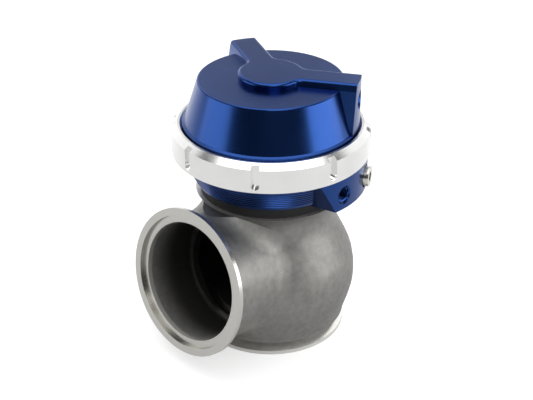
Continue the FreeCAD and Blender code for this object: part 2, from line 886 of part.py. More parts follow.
def facing_plane(body, name, azimuth, distance, height):
    """A sketch that faces outwards at an azimuth, a distance from the valve axis and a height."""
    sketch = new_sketch(body, "YZ_Plane", name, height=height, turn=azimuth, axis=Vector(0, 1, 0))
    bind(sketch, "AttachmentOffset.Rotation.Angle", azimuth)
    bind(sketch, "AttachmentOffset.Base.x", distance * sine(azimuth))
    bind(sketch, "AttachmentOffset.Base.z", distance * cosine(azimuth))
    return sketch


def make_plug_washer():
    """Sealing washer under the plug's head."""
    body = new_body("plug_washer")
    face = s.port_boss_radius - s.spot_face_drop
    inner = s.port_radius + s.thread_gap
    sketch = radial_plane(body, "washer_outline", s.plugged_port_azimuth, lower_port_height)
    outline(sketch, [
        (face, inner),
        (face, s.plug_flange_radius),
        (face + s.plug_washer, s.plug_flange_radius),
        (face + s.plug_washer, inner),
    ])
    revolve(body, "Revolution", "washer_turning", sketch, "H_Axis")
    return body


def stem_bore():
    """The hole of each piece that the threaded end of the stem carries."""
    return s.stem_thread_radius + s.thread_gap


def make_diaphragm():
    """Moulded diaphragm: clamped at its rim, carried by the stem at its centre."""
    body = turned("diaphragm", [
        (stem_bore(), diaphragm_bottom),
        (s.plate_radius + s.diaphragm_thickness, diaphragm_bottom),
        (s.chamber_radius, housing_top),
        (s.diaphragm_radius, housing_top),
        (s.diaphragm_radius, rim_top),
        (s.chamber_radius - s.diaphragm_thickness, rim_top),
        (s.plate_radius, upper_plate_bottom),
        (stem_bore(), upper_plate_bottom),
    ])
    return dowel_holes(body, rim_top, s.diaphragm_rim + OVERRUN)


def make_lower_plate():
    """Backing plate under the diaphragm, seated on the shoulder of the stem."""
    return flat_ring("lower_plate", stem_bore(), s.plate_radius, plate_bottom, diaphragm_bottom)


def make_upper_plate():
    """Plate above the diaphragm with a lip that centres the outer spring."""
    lip_top = upper_plate_top + s.seat_lip_rise
    return turned("upper_plate", [
        (stem_bore(), upper_plate_bottom),
        (s.plate_radius, upper_plate_bottom),
        (s.plate_radius, lip_top),
        (s.plate_radius - s.seat_lip, lip_top),
        (s.plate_radius - s.seat_lip, upper_plate_top),
        (stem_bore(), upper_plate_top),
    ])


def make_stem_washer():
    """Washer between the upper plate and the nut."""
    return flat_ring("stem_washer", stem_bore(), s.washer_radius, upper_plate_top, washer_top)


def make_stem_nut():
    """Nut that clamps the plates and the diaphragm against the stem's shoulder."""
    body = new_body("stem_nut")
    sketch = hexagon(new_sketch(body, "XY_Plane", "nut_outline", lift=washer_top), s.nut_width)
    raise_pad(body, "nut_blank", sketch, s.nut_height)
    turn_off(body, "nut_bore", [
        (0, washer_top - OVERRUN),
        (stem_bore(), washer_top - OVERRUN),
        (stem_bore(), nut_top + OVERRUN),
        (0, nut_top + OVERRUN),
    ])
    return body


def coil_height(turn, turns, wire):
    """Height of the wire's centre after some turns: nearly closed at both ends, open between."""
    ground = wire / 4
    closed_lead = wire + s.closed_gap.value
    rise = (spring_top - upper_plate_top).value - 2 * ground
    open_turns = turns - 2 * s.closed_turns.value
    open_lead = (rise - 2 * s.closed_turns.value * closed_lead) / open_turns
    below = min(turn, s.closed_turns.value)
    above = max(0, turn - s.closed_turns.value - open_turns)
    height = (below + above) * closed_lead + (turn - below - above) * open_lead
    return upper_plate_top.value + ground + height


def make_spring(node, radius, wire, turns):
    """A spring with closed ends, ground flat against the upper plate and the locator."""
    radius, wire, turns = radius.value, wire.value, turns.value
    rings = []
    steps = round(turns * STEPS_PER_TURN)
    for step in range(steps + 1):
        swing = 2 * math.pi * turns * step / steps
        middle = coil_height(turns * step / steps, turns, wire)
        corners = []
        for side in range(WIRE_SIDES):
            slant = 2 * math.pi * (side + 0.5) / WIRE_SIDES
            distance = radius + wire / 2 * math.cos(slant)
            height = middle + wire / 2 * math.sin(slant)
            height = max(upper_plate_top.value, min(spring_top.value, height))
            corners.append(Vector(distance * math.cos(swing), distance * math.sin(swing), height))
        rings.append(Part.makePolygon(corners + corners[:1]))
    spring = doc.addObject("Part::Feature", node)
    spring.Label = node
    spring.Shape = Part.makeLoft(rings, True, True)
    spring.Placement = Placement()
    return spring


def make_spring_locator():
    """Hardened ring under the cap's roof, with a rib that parts the inner and middle springs."""
    rib = (s.locator_rib_radius, s.locator_rib_radius + s.locator_rib)
    return turned("spring_locator", [
        (s.locator_hole_radius, spring_top),
        (rib[0], spring_top),
        (rib[0], spring_top - s.locator_rib_drop),
        (rib[1], spring_top - s.locator_rib_drop),
        (rib[1], spring_top),
        (s.locator_radius, spring_top),
        (s.locator_radius, cap_ceiling),
        (s.locator_hole_radius, cap_ceiling),
    ])


def make_cap():
    """Anodised spring cap: a tapered bell, a round pad and two arms that carry ports."""
    body = new_body("cap")
    turn_on(body, "bell", [
        (0, rim_top),
        (s.cap_flange_radius, rim_top),
        (s.cap_flange_radius, cap_flange_top),
        (s.cap_base_radius, cap_flange_top),
        (s.cap_base_radius, cap_base_top),
        (s.cap_cone_radius, cap_base_top + s.cap_step),
        (s.cap_top_radius, cap_top),
        (0, cap_top),
    ])
    round_rings(body, "roof_edge", s.cap_top_round, [(s.cap_top_radius, cap_top)])
    turn_on(body, "pad", [
        (0, cap_top - OVERRUN),
        (s.pad_radius, cap_top - OVERRUN),
        (s.pad_radius, pad_top),
        (0, pad_top),
    ])
    arms = {"first_arm": s.first_arm_azimuth, "second_arm": s.second_arm_azimuth}
    for name, azimuth in arms.items():
        radial_sector(body, name, azimuth, [
            (-(s.arm_foot_width / 2), cap_flange_top),
            (s.arm_foot_width / 2, cap_flange_top),
            (s.arm_width / 2, cap_top),
            (s.arm_top_width / 2, pad_top),
            (-(s.arm_top_width / 2), pad_top),
            (-(s.arm_width / 2), cap_top),
        ], s.cap_base_radius, cap_flange_top, pad_top + OVERRUN)
    soften(body, "arm_blends", s.arm_blend, pad_corners(body.Tip.Shape))
    soften(body, "pad_edges", s.pad_edge, pad_rim(body.Tip.Shape))
    turn_off(body, "spring_chamber", [
        (0, rim_top - OVERRUN),
        (s.convolution_radius, rim_top - OVERRUN),
        (s.convolution_radius, rim_top + OVERRUN),
        (s.cap_top_radius - s.cap_wall, cap_ceiling),
        (0, cap_ceiling),
    ])
    for name, azimuth in arms.items():
        open_port(body, f"{name}_port", azimuth, upper_port_height, s.cap_base_radius,
                  s.cap_top_radius - s.cap_wall - OVERRUN)
    return dowel_holes(body, rim_top + s.dowel_reach, s.dowel_reach + OVERRUN)


def pad_corners(shape):
    """The steep edges where the arms leave the pad."""
    corners = []
    for number, edge in enumerate(shape.Edges, start=1):
        low, high = edge.BoundBox.ZMin, edge.BoundBox.ZMax
        ends = [math.hypot(vertex.X, vertex.Y) for vertex in edge.Vertexes]
        tall = abs(high - low - s.pad_height.value) < 0.01 and abs(high - pad_top.value) < 0.01
        if tall and all(abs(distance - s.pad_radius.value) < 0.05 for distance in ends):
            corners.append(f"Edge{number}")
    return corners


def pad_rim(shape):
    """The edges round the top of the pad and the arms, without the arms' end faces."""
    rim = []
    for number, edge in enumerate(shape.Edges, start=1):
        low, high = edge.BoundBox.ZMin, edge.BoundBox.ZMax
        middle = edge.CenterOfMass
        at_top = abs(low - pad_top.value) < 0.01 and abs(high - pad_top.value) < 0.01
        at_end = math.hypot(middle.x, middle.y) > s.cap_base_radius.value - s.pad_edge.value
        if at_top and not at_end:
            rim.append(f"Edge{number}")
    return rim


def make_collar_ring():
    """Locking collar: threaded on the housing, a lip over the cap's flange, spanner slots."""
    bore = s.housing_top_radius + s.collar_thread_gap
    lip_radius = s.cap_base_radius + s.collar_lip_gap
    body = turned("collar_ring", [
        (bore, collar_bottom),
        (s.collar_radius, collar_bottom),
        (s.collar_radius, collar_shoulder),
        (s.collar_land_radius, collar_top),
        (lip_radius + s.collar_lip_chamfer, collar_top),
        (lip_radius, collar_top - s.collar_lip_chamfer),
        (lip_radius, collar_lip_bottom),
        (bore, collar_lip_bottom),
    ])
    half = s.slot_width / 2
    end = collar_bottom + s.slot_end_rise + half
    side = new_sketch(body, "YZ_Plane", "slot_outline", lift=s.collar_radius + OVERRUN)
    open_end = collar_top + OVERRUN
    outline(side, [(-half, end), (half, end), (half, open_end), (-half, open_end)])
    slot = drill(body, "slot", side, s.slot_depth + OVERRUN)
    bottom = new_sketch(body, "YZ_Plane", "slot_end_outline", lift=s.collar_radius + OVERRUN)
    slot_end = drill(body, "slot_end", circle(bottom, 0, end, half), s.slot_depth + OVERRUN)
    repeat_round(body, "slots", [slot, slot_end], s.slot_count)
    body.Placement = Placement(Vector(), Rotation(Vector(0, 0, 1), s.slot_azimuth.value))
    bind(body, "Placement.Rotation.Angle", s.slot_azimuth)
    return body


def make_cap_dowel(number):
    """Dowel through the diaphragm's rim, half in the housing and half in the cap."""
    node = f"cap_dowel_{number + 1}"
    bottom = housing_top - s.dowel_reach + s.dowel_end_gap
    top = rim_top + s.dowel_reach - s.dowel_end_gap
    body = turned(node, [(0, bottom), (s.dowel_radius, bottom), (s.dowel_radius, top), (0, top)])
    bind(body, "Placement.Base.y", dowel_places()[number])
    return body


def make_pieces():
    """Every sub-part, in the order in which the gate is put together."""
    pieces = [
        make_valve_body(),
        make_valve_seat(),
        make_valve(),
        make_valve_guide(),
        make_stem_scraper(),
        bolted_ring("body_gasket", s.deck_height, spacer_bottom),
        bolted_ring("heat_spacer", spacer_bottom, spacer_top),
        bolted_ring("housing_gasket", spacer_top, housing_bottom),
        make_lower_housing(),
        make_stem_seal(),
    ]
    pieces += [make_housing_bolt(number) for number in range(int(s.bolt_count.value))]
    pieces += [
        make_port_plug(),
        make_plug_washer(),
        make_diaphragm(),
        make_lower_plate(),
        make_upper_plate(),
        make_stem_washer(),
        make_stem_nut(),
        make_spring("outer_spring", s.outer_spring_radius, s.outer_wire, s.outer_turns),
        make_spring("middle_spring", s.middle_spring_radius, s.middle_wire, s.middle_turns),
        make_spring("inner_spring", s.inner_spring_radius, s.inner_wire, s.inner_turns),
        make_spring_locator(),
        make_cap(),
        make_collar_ring(),
    ]
    return pieces + [make_cap_dowel(number) for number in range(2)]


def check_features():
    """Stop if any feature failed or a cut took nothing away."""
    for thing in doc.Objects:
        if "Invalid" in thing.State or "Error" in thing.State:
            raise RuntimeError(f"{thing.Label} failed: {thing.State}")
        if thing.TypeId in ("PartDesign::Groove", "PartDesign::Pocket"):
            taken = thing.BaseFeature.Shape.Volume - thing.Shape.Volume
            if taken < 0.001:
                raise RuntimeError(f"{thing.Label} cuts nothing")


def write_pieces(pieces):
    """Check each sub-part's shape and write it under its own name."""
    os.makedirs("parts", exist_ok=True)
    for piece in pieces:
        shape = piece.Shape
        if shape.isNull() or not shape.isValid():
            raise RuntimeError(f"{piece.Label} has no valid shape")
        shape.exportStep(f"parts/{piece.Label}.step")
        print(f"{piece.Label}: {len(shape.Solids)} solid, {shape.Volume:.0f} mm3")


pieces = make_pieces()
doc.recompute()
check_features()
write_pieces(pieces)
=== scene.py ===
# %% [markdown]
# # Finishing a turbo wastegate
# The CAD frame brings every part of the gate at its real size and place. This lesson gives each
# part the finish of the real one, winds threads into its open ports, and sets up the camera, the
# floor and the lamps of a small product studio.
# Lengths are in metres.

# %% Load the frame
import json
import math

import bpy
from mathutils import Matrix, Vector


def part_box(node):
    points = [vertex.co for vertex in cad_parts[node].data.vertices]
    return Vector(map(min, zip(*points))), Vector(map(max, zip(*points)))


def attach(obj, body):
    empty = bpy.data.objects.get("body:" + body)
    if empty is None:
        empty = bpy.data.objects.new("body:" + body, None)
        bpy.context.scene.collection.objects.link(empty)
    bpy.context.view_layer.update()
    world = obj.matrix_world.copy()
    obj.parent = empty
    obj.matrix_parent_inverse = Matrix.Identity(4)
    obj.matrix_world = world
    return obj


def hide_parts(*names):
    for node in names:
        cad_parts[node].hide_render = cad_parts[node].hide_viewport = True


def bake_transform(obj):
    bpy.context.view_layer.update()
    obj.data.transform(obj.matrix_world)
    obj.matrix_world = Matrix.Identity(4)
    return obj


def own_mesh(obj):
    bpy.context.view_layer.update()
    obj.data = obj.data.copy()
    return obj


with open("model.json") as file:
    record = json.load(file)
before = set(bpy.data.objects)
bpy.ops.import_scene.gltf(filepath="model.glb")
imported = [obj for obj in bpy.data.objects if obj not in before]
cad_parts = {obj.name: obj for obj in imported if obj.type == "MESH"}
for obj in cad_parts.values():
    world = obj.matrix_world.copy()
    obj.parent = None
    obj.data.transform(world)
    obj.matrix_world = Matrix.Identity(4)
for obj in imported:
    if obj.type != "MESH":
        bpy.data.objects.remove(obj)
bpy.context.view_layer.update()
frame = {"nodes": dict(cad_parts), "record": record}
nodes = frame["nodes"]
mounts = {mount["name"]: mount for mount in frame["record"]["mounts"]}
MILLIMETRE = 0.001
bpy.ops.object.select_all(action="DESELECT")

# %% [markdown]
# ## The camera
# A camera can be placed by eye, but then no edge lines up with the real gate's. This one was
# worked out from the round rims: each rim is an ellipse in the picture, and only one place of the
# camera explains all of them. It first aims at a point on the valve axis and is then turned a
# little, as a hand-held one is.

# %% The camera in numbers
PICTURE_WIDTH = 533
FOCAL_PIXELS = 1213.7
SENSOR = 36.0
NEAREST = 0.01
AIM_HEIGHT = 0.12017
DISTANCE = 0.67082
AZIMUTH = math.radians(44)
ELEVATION = math.radians(26.12)
YAW = 0.00334
PITCH = -0.05651
ROLL = 0.00254
view_angle = 2 * math.atan(PICTURE_WIDTH / 2 / FOCAL_PIXELS)
print("view:", round(math.degrees(view_angle), 1), "degrees wide")


# %% Place and turn the camera
def direction(azimuth, elevation):
    """The way from the gate to a place seen at this azimuth and elevation."""
    flat = math.cos(elevation)
    return Vector((math.sin(azimuth) * flat, -math.cos(azimuth) * flat, math.sin(elevation)))


def aimed(place, target):
    """A turn that makes the local -Z axis point from place to target, with +Y upwards."""
    return (target - place).to_track_quat("-Z", "Y")


aim = Vector((0, 0, AIM_HEIGHT))
eye = aim + direction(AZIMUTH, ELEVATION) * DISTANCE
camera_data = bpy.data.cameras.new("camera")
camera_data.sensor_width = SENSOR
camera_data.lens = SENSOR * FOCAL_PIXELS / PICTURE_WIDTH
camera_data.clip_start = NEAREST
camera = bpy.data.objects.new("camera", camera_data)
bpy.context.scene.collection.objects.link(camera)
turn = aimed(eye, aim).to_matrix()
for angle, axis in ((YAW, "Y"), (PITCH, "X"), (ROLL, "Z")):
    turn = turn @ Matrix.Rotation(angle, 3, axis)
camera.matrix_world = Matrix.Translation(eye) @ turn.to_4x4()
bpy.context.scene.camera = camera
print("lens:", round(camera_data.lens, 2), "mm")

# %% [markdown]
# ## Shader maths as expressions
# A finish is a pattern of numbers that drives a shader. It could be wired by hand as a web of
# boxes, but arithmetic is easier to read and to change. The first class below wraps a node's
# socket, so that adding or multiplying two of them adds a Math node. The second makes every other
# node through a single method, and the third is one material.


# %% A socket that takes part in arithmetic
class Signal:
    """A number, colour or vector that comes out of one of its owner's nodes."""

    def __init__(self, owner, socket):
        self.owner = owner
        self.socket = socket

    def __add__(self, other):
        return self.owner.maths("ADD", self, other)

    def __radd__(self, other):
        return self.owner.maths("ADD", other, self)

    def __sub__(self, other):
        return self.owner.maths("SUBTRACT", self, other)

    def __rsub__(self, other):
        return self.owner.maths("SUBTRACT", other, self)

    def __mul__(self, other):
        return self.owner.maths("MULTIPLY", self, other)

    def __rmul__(self, other):
        return self.owner.maths("MULTIPLY", other, self)


# %% The nodes of a surface
def grey(tone):
    """An opaque grey."""
    return (tone, tone, tone, 1.0)


def set_stops(ramp_of_tones, stops):
    """Give a ramp its stops, as (place, grey)."""
    while len(ramp_of_tones.elements) < len(stops):
        ramp_of_tones.elements.new(1.0)
    for element, (place, tone) in zip(ramp_of_tones.elements, stops):
        element.position = place
        element.color = grey(tone)


class NodeTree:
    """The nodes of a material or of the world, which all lead to one output."""

    def __init__(self, tree, output):
        self.tree = tree
        self.tree.nodes.clear()
        self.output = self.node(output)

    def node(self, kind, settings=None, inputs=None):
        """Add a node: its settings first, then the values or links of its sockets."""
        made = self.tree.nodes.new(kind)
        for name, value in (settings or {}).items():
            if name == "stops":
                set_stops(made.color_ramp, value)
            else:
                setattr(made, name, value)
        for key, value in (inputs or {}).items():
            if isinstance(value, Signal):
                self.tree.links.new(value.socket, made.inputs[key])
            else:
                made.inputs[key].default_value = value
        return made

    def maths(self, operation, *values):
        """One Math node on numbers or signals."""
        made = self.node("ShaderNodeMath", {"operation": operation}, dict(enumerate(values)))
        return Signal(self, made.outputs[0])

    def show(self, shader):
        """Lead this shader to the output."""
        self.tree.links.new(shader.outputs[0], self.output.inputs["Surface"])


# %% One material
class Finish(NodeTree):
    """A procedural material, which knows the place on the object that it colours."""

    def __init__(self, name):
        self.name = name
        self.material = bpy.data.materials.new(name)
        self.material.use_nodes = True
        super().__init__(self.material.node_tree, "ShaderNodeOutputMaterial")
        coordinates = self.node("ShaderNodeTexCoord")
        self.place = Signal(self, coordinates.outputs["Object"])
        split = self.node("ShaderNodeSeparateXYZ", inputs={"Vector": self.place})
        self.x, self.y, self.z = (Signal(self, split.outputs[axis]) for axis in "XYZ")

    def surface(self, **inputs):
        """The metal or the rubber itself, from the shader's inputs by name."""
        named = {key.replace("_", " "): value for key, value in inputs.items()}
        self.show(self.node("ShaderNodeBsdfPrincipled", inputs=named))
        return self


# %% [markdown]
# ## Patterns
# Real metal and rubber are never one flat tone. Pictures wrapped round the parts could bring in
# their grain, but they need unwrapping and stretch over curved faces. These small functions read
# the place itself instead: some give noise from 0 to 1, and some give a mask, which is 1 where a
# finish shows and 0 where it doesn't.


# %% Noise and tool marks
def noise(place, size, detail=3.0, roughness=0.5, stretch=(1, 1, 1)):
    """Noise with features of about this size, from 0 to 1."""
    owner = place.owner
    stretched = owner.node("ShaderNodeMapping", inputs={"Vector": place, "Scale": stretch})
    made = owner.node("ShaderNodeTexNoise", inputs={
        "Vector": Signal(owner, stretched.outputs[0]),
        "Scale": 1 / size,
        "Detail": detail,
        "Roughness": roughness,
    })
    return Signal(owner, made.outputs["Fac"])


def tool_rings(distance, pitch):
    """Irregular tool marks from 0 to 1, from the distance to the axis that they run round."""
    made = distance.owner.node("ShaderNodeTexNoise", {"noise_dimensions": "1D"}, {
        "W": distance,
        "Scale": 1 / pitch,
        "Detail": 2.0,
    })
    return Signal(distance.owner, made.outputs["Fac"])


# %% Distances and masks
def along(place, way, start):
    """The distance from a start point in one direction."""
    made = place.owner.node("ShaderNodeVectorMath", {"operation": "DOT_PRODUCT"}, {
        0: place, 1: way})
    return Signal(place.owner, made.outputs["Value"]) - way.dot(start)


def radius(x, y):
    """The distance from an axis, from the two coordinates across it."""
    return x.owner.maths("SQRT", x * x + y * y)


def past(value, limit, blur):
    """A mask that is 0 below a limit and 1 above limit + blur, smooth between."""
    made = value.owner.node("ShaderNodeMapRange", {"interpolation_type": "SMOOTHSTEP"}, {
        "Value": value, "From Min": limit, "From Max": limit + blur})
    return Signal(value.owner, made.outputs[0])


def within(value, limit, blur):
    """A mask that is 1 below a limit and 0 above limit + blur, smooth between."""
    return 1 - past(value, limit, blur)


def either(first, second):
    """The stronger of two masks."""
    return first.owner.maths("MAXIMUM", first, second)


# %% Tones and relief
MIX_SHARE, MIX_FIRST, MIX_SECOND, MIX_RESULT = 0, 6, 7, 2


def ramp(value, *stops):
    """A number through a ramp of (place, grey) stops."""
    made = value.owner.node("ShaderNodeValToRGB", {"stops": stops}, {"Fac": value})
    return Signal(value.owner, made.outputs["Color"])


def mix(share, first, second):
    """A blend of two colours, each a signal or three numbers."""
    first, second = (
        tone if isinstance(tone, Signal) else (*tone, 1) for tone in (first, second))
    made = share.owner.node("ShaderNodeMix", {"data_type": "RGBA"}, {
        MIX_SHARE: share, MIX_FIRST: first, MIX_SECOND: second})
    return Signal(share.owner, made.outputs[MIX_RESULT])


def bump(height, depth):
    """Relief of this height signal, whose full swing is depth metres."""
    made = height.owner.node("ShaderNodeBump", inputs={
        "Height": height, "Distance": depth, "Strength": 1.0})
    return Signal(height.owner, made.outputs[0])


# %% A shelf for the finishes
finishes = {}


def keep_finish(finish):
    """Put a finish on the shelf under its name, for the parts that wear it."""
    finishes[finish.name] = finish.material
    print(finish.name, "nodes:", len(finish.tree.nodes))


# %% [markdown]
# ## Cast steel, machined at the flanges
# The body is an investment casting: a fine sandy grain all over, with a mottled skin and slow
# changes of tone. Its two clamp flanges and its deck are turned on a lathe afterwards, so they are
# brighter and smoother. The outlet's bore and the chamber behind it carry painted shade, darker
# deeper inside. Each zone could be a material of its own on chosen faces, but the borders would
# follow the mesh's triangles. Here distances to the flanges and to their axes say where the tool
# has been and where the painted shade lies, so the borders are sharp.

# %% Where the tool has been
OUTLET_AXIS = Vector(mounts["outlet_face"]["axis"])
OUTLET_FACE = Vector(mounts["outlet_face"]["pos_m"])
OUTLET_UP = OUTLET_AXIS.cross(Vector((1, 0, 0)))
REGISTER_RADIUS = mounts["outlet_register"]["dims"]["r_mm"] * MILLIMETRE
DECK_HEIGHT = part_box("body_gasket")[0].z
DECK_RADIUS = 0.0421
TURNED_DEPTH = 0.0049
CUT_EDGE = 0.0003
SHARP_EDGE = 0.0001


def turned_faces(cast, depth, from_valve):
    """Masks of the outlet flange, the inlet flange and the bolting deck."""
    outlet = within(depth, TURNED_DEPTH - CUT_EDGE, CUT_EDGE)
    inlet = within(cast.z, TURNED_DEPTH, CUT_EDGE)
    level = past(cast.z, DECK_HEIGHT - 2 * SHARP_EDGE, SHARP_EDGE)
    deck = level * within(from_valve, DECK_RADIUS, SHARP_EDGE)
    return outlet, inlet, deck


def register_wall_shade(depth, from_outlet):
    """Mask of the low wall of the outlet's register, which lies in the flange's shade and gets
    painted shade.
    """
    blur = 2 * SHARP_EDGE
    reached = past(from_outlet, REGISTER_RADIUS - blur, blur)
    crossed = past(from_outlet, REGISTER_RADIUS, blur)
    return (reached - crossed) * past(depth, SHARP_EDGE, blur)


print("outlet tilts up by", round(math.degrees(math.asin(OUTLET_AXIS.z)), 1), "degrees")

# %% Where the painted shade lies inside
OUTLET_BORE = 0.034
BORE_EDGE = 0.0002
BORE_REACH = 0.0333
BORE_FADE = 0.004
MOUTH_REACH = 0.0223
LEAST_UNSHADED = 0.08
CHAMBER_HEIGHT = 0.0385
CHAMBER_RADIUS = 0.0450
CHAMBER_EDGE = 0.0005
CHAMBER_SQUAT = 1.135


def inside_walls(cast, depth, from_outlet, from_valve):
    """Mask of the outlet's bore and of the rounded chamber behind it."""
    bore = within(depth, BORE_REACH, BORE_FADE)
    bore = bore * within(from_outlet, OUTLET_BORE - BORE_EDGE, 2 * BORE_EDGE)
    from_middle = radius(from_valve, (cast.z - CHAMBER_HEIGHT) * CHAMBER_SQUAT)
    return either(bore, within(from_middle, CHAMBER_RADIUS, CHAMBER_EDGE))


def unshaded_share(depth):
    """How much of the wall stays free of painted shade: all at the outlet's mouth, hardly any deep
    inside.
    """
    return ramp(within(depth, 0, MOUTH_REACH), (0.0, LEAST_UNSHADED), (1.0, 1.0))


print("chamber:", round(2 * CHAMBER_RADIUS / MILLIMETRE), "mm wide")

# %% Tones of the casting
DARK_CAST = (0.22, 0.217, 0.208)
PALE_CAST = (0.35, 0.345, 0.331)
# Painted shade for the bore and the chamber, darkest deep inside.
PAINTED_BORE_SHADE = (0.012, 0.012, 0.010)
TURNED_OUTLET = (0.60, 0.59, 0.56)
TURNED_FINE = (0.95, 0.94, 0.90)
# Painted shade for the register's low wall.
PAINTED_WALL_SHADE = (0.38, 0.37, 0.34)
GRAIN_SIZE = 0.0007
MOTTLE_SIZE = 0.004
STAIN_SIZE = 0.018
TOOL_PITCH = 0.0005
CAST_RELIEF = 0.00008
TOOL_RELIEF = 0.05 * CAST_RELIEF
print("casting grain:", round(GRAIN_SIZE / MILLIMETRE, 1), "mm")


# %% Cast body
def cast_body():
    """Blasted casting with lathe-turned clamp flanges and painted shade inside."""
    cast = Finish("cast_steel")
    depth = along(cast.place, -OUTLET_AXIS, OUTLET_FACE)
    from_outlet = radius(cast.x, along(cast.place, OUTLET_UP, OUTLET_FACE))
    from_valve = radius(cast.x, cast.y)
    outlet, inlet, deck = turned_faces(cast, depth, from_valve)
    turned = either(either(outlet, inlet), deck)
    # Painted shade: the register's low wall is darkened where the flange shades it.
    wall = outlet * register_wall_shade(depth, from_outlet)
    inside = inside_walls(cast, depth, from_outlet, from_valve)

    grain = noise(cast.place, GRAIN_SIZE, detail=4, roughness=0.6)
    stain = noise(cast.place, STAIN_SIZE, detail=3)
    mottle = noise(cast.place, MOTTLE_SIZE, detail=5, roughness=0.65)
    mottle = ramp(mottle, (0.35, 0.0), (0.65, 1.0))
    fresh = mix(stain * 0.5 + mottle * 0.5, DARK_CAST, PALE_CAST)
    # Painted shade: the bore and the chamber turn dark towards the inside.
    skin = mix(inside * (1 - unshaded_share(depth)), fresh, PAINTED_BORE_SHADE)
    bright = mix(either(inlet, deck), TURNED_OUTLET, TURNED_FINE)
    marks = tool_rings(from_outlet, TOOL_PITCH) * outlet
    marks = marks + tool_rings(from_valve, TOOL_PITCH) * (1 - outlet)
    relief = grain * (1 - turned) + marks * turned * (TOOL_RELIEF / CAST_RELIEF)
    return cast.surface(
        Base_Color=mix(wall, mix(turned, skin, bright), PAINTED_WALL_SHADE),
        Metallic=0.95 - inside * 0.5,
        Roughness=0.46 - turned * 0.24 + deck * 0.2 + stain * 0.06,
        Normal=bump(relief, CAST_RELIEF),
    )


keep_finish(cast_body())

# %% [markdown]
# ## Anodised aluminium
# The housing and the cap are turned from bar and dyed blue. Anodising is a clear dyed skin on
# metal. It could be a blue plastic under a clear coat, but then its highlights would be white. The
# metal's own reflection takes the dye's colour here, under a thin coat for the skin, and the
# turned marks still show as the finest of rings.

# %% Anodised finish
DEEP_BLUE = (0.015, 0.052, 0.21)
CLEAR_BLUE = (0.020, 0.064, 0.25)
CLOUD_SIZE = 0.02
FINE_RELIEF = 0.000012
ROUND_THE_VALVE = (0.02, 0.02, 1)


def anodised():
    """Deep blue skin over turned aluminium."""
    skin = Finish("blue_anodised")
    cloud = noise(skin.place, CLOUD_SIZE, detail=2)
    marks = noise(skin.place, TOOL_PITCH, detail=2, stretch=ROUND_THE_VALVE)
    return skin.surface(
        Base_Color=mix(cloud, DEEP_BLUE, CLEAR_BLUE),
        Metallic=1.0,
        Roughness=0.24 + cloud * 0.05,
        Coat_Weight=0.08,
        Coat_Roughness=0.15,
        Normal=bump(marks, FINE_RELIEF),
    )


keep_finish(anodised())

# %% [markdown]
# ## Plain turned metals
# The collar is bright turned aluminium, the plug is plated steel, and the valve, its seat, guide,
# plates, springs and screws are metals that gas and oil have dulled. They could have a recipe
# each, but they differ only in tone and in gloss, so one recipe serves them all.


# %% Turned metals
SMUDGE_SIZE = 0.012
SMUDGED = 0.86
POLISHED_PITCH = 0.0004
POLISHED_RELIEF = 0.00001


def turned_metal(name, colour, matt):
    """Metal from the lathe: fine rings round the valve axis and faint handling marks."""
    metal = Finish(name)
    smudge = noise(metal.place, SMUDGE_SIZE, detail=3)
    marks = noise(metal.place, POLISHED_PITCH, detail=2, stretch=ROUND_THE_VALVE)
    handled = [channel * SMUDGED for channel in colour]
    return metal.surface(
        Base_Color=mix(smudge, handled, colour),
        Metallic=1.0,
        Roughness=matt + smudge * 0.08,
        Normal=bump(marks, POLISHED_RELIEF),
    )


keep_finish(turned_metal("silver_collar", (0.97, 0.97, 0.96), matt=0.18))
keep_finish(turned_metal("plug_steel", (0.75, 0.73, 0.68), matt=0.18))
keep_finish(turned_metal("seat_alloy", (0.55, 0.54, 0.53), matt=0.25))
keep_finish(turned_metal("plate_alloy", (0.80, 0.80, 0.80), matt=0.3))
keep_finish(turned_metal("valve_steel", (0.34, 0.33, 0.32), matt=0.35))
keep_finish(turned_metal("bronze", (0.62, 0.42, 0.20), matt=0.35))
keep_finish(turned_metal("bolt_steel", (0.10, 0.10, 0.10), matt=0.35))
keep_finish(turned_metal("spring_steel", (0.22, 0.22, 0.23), matt=0.35))

# %% [markdown]
# ## A black ring of painted shade, rubber and gaskets
# The neck between the hot body and the blue housing is a matt near-black ring, which is painted
# shade: a dark ring set where the neck lies in shadow. The gaskets are thin black sheets, and the
# diaphragm is red-brown rubber. One flat colour would look like paper, so a fine grain lightens
# the colour, dulls the shine and stands up a little.


# %% Dull finishes
DULL_GRAIN = 0.0006
DULL_RELIEF = 0.00005


def dull_skin(name, colour):
    """A dull finish with a fine grain."""
    dull = Finish(name)
    grain = noise(dull.place, DULL_GRAIN, detail=3)
    pale = [channel * 1.5 + 0.004 for channel in colour]
    return dull.surface(
        Base_Color=mix(grain, colour, pale),
        Metallic=0.0,
        Roughness=0.62 + grain * 0.2,
        Normal=bump(grain, DULL_RELIEF),
    )


# Painted shade: a near-black ring stands where the neck between body and housing lies in shadow.
keep_finish(dull_skin("black_spacer", (0.006, 0.006, 0.007)))
keep_finish(dull_skin("carbon", (0.02, 0.02, 0.02)))
keep_finish(dull_skin("gasket", (0.02, 0.02, 0.02)))
keep_finish(dull_skin("silicone", (0.22, 0.05, 0.04)))

# %% [markdown]
# ## Finishes on the parts
# The record says which finish each part takes. Picking the parts one by one would work too, but
# reading the record keeps this file right when a part changes its metal.

# %% Put the finishes on the parts
for part in frame["record"]["subparts"]:
    mesh = nodes[part["node"]].data
    mesh.materials.clear()
    mesh.materials.append(finishes[part["material_slot"]])

# %% [markdown]
# ## Pipe threads in the open ports
# Three ports are left open, so their threads show. A bump pattern could stand for them, but it
# has no depth when it is seen along the bore. A real thread is one ridge wound along a bore, so a
# small triangle stands beside the bore's axis, with its foot just inside the wall, and the Screw
# modifier winds it up. It is wound once about the world's Z axis, closed at its two ends, and
# copied to each port.

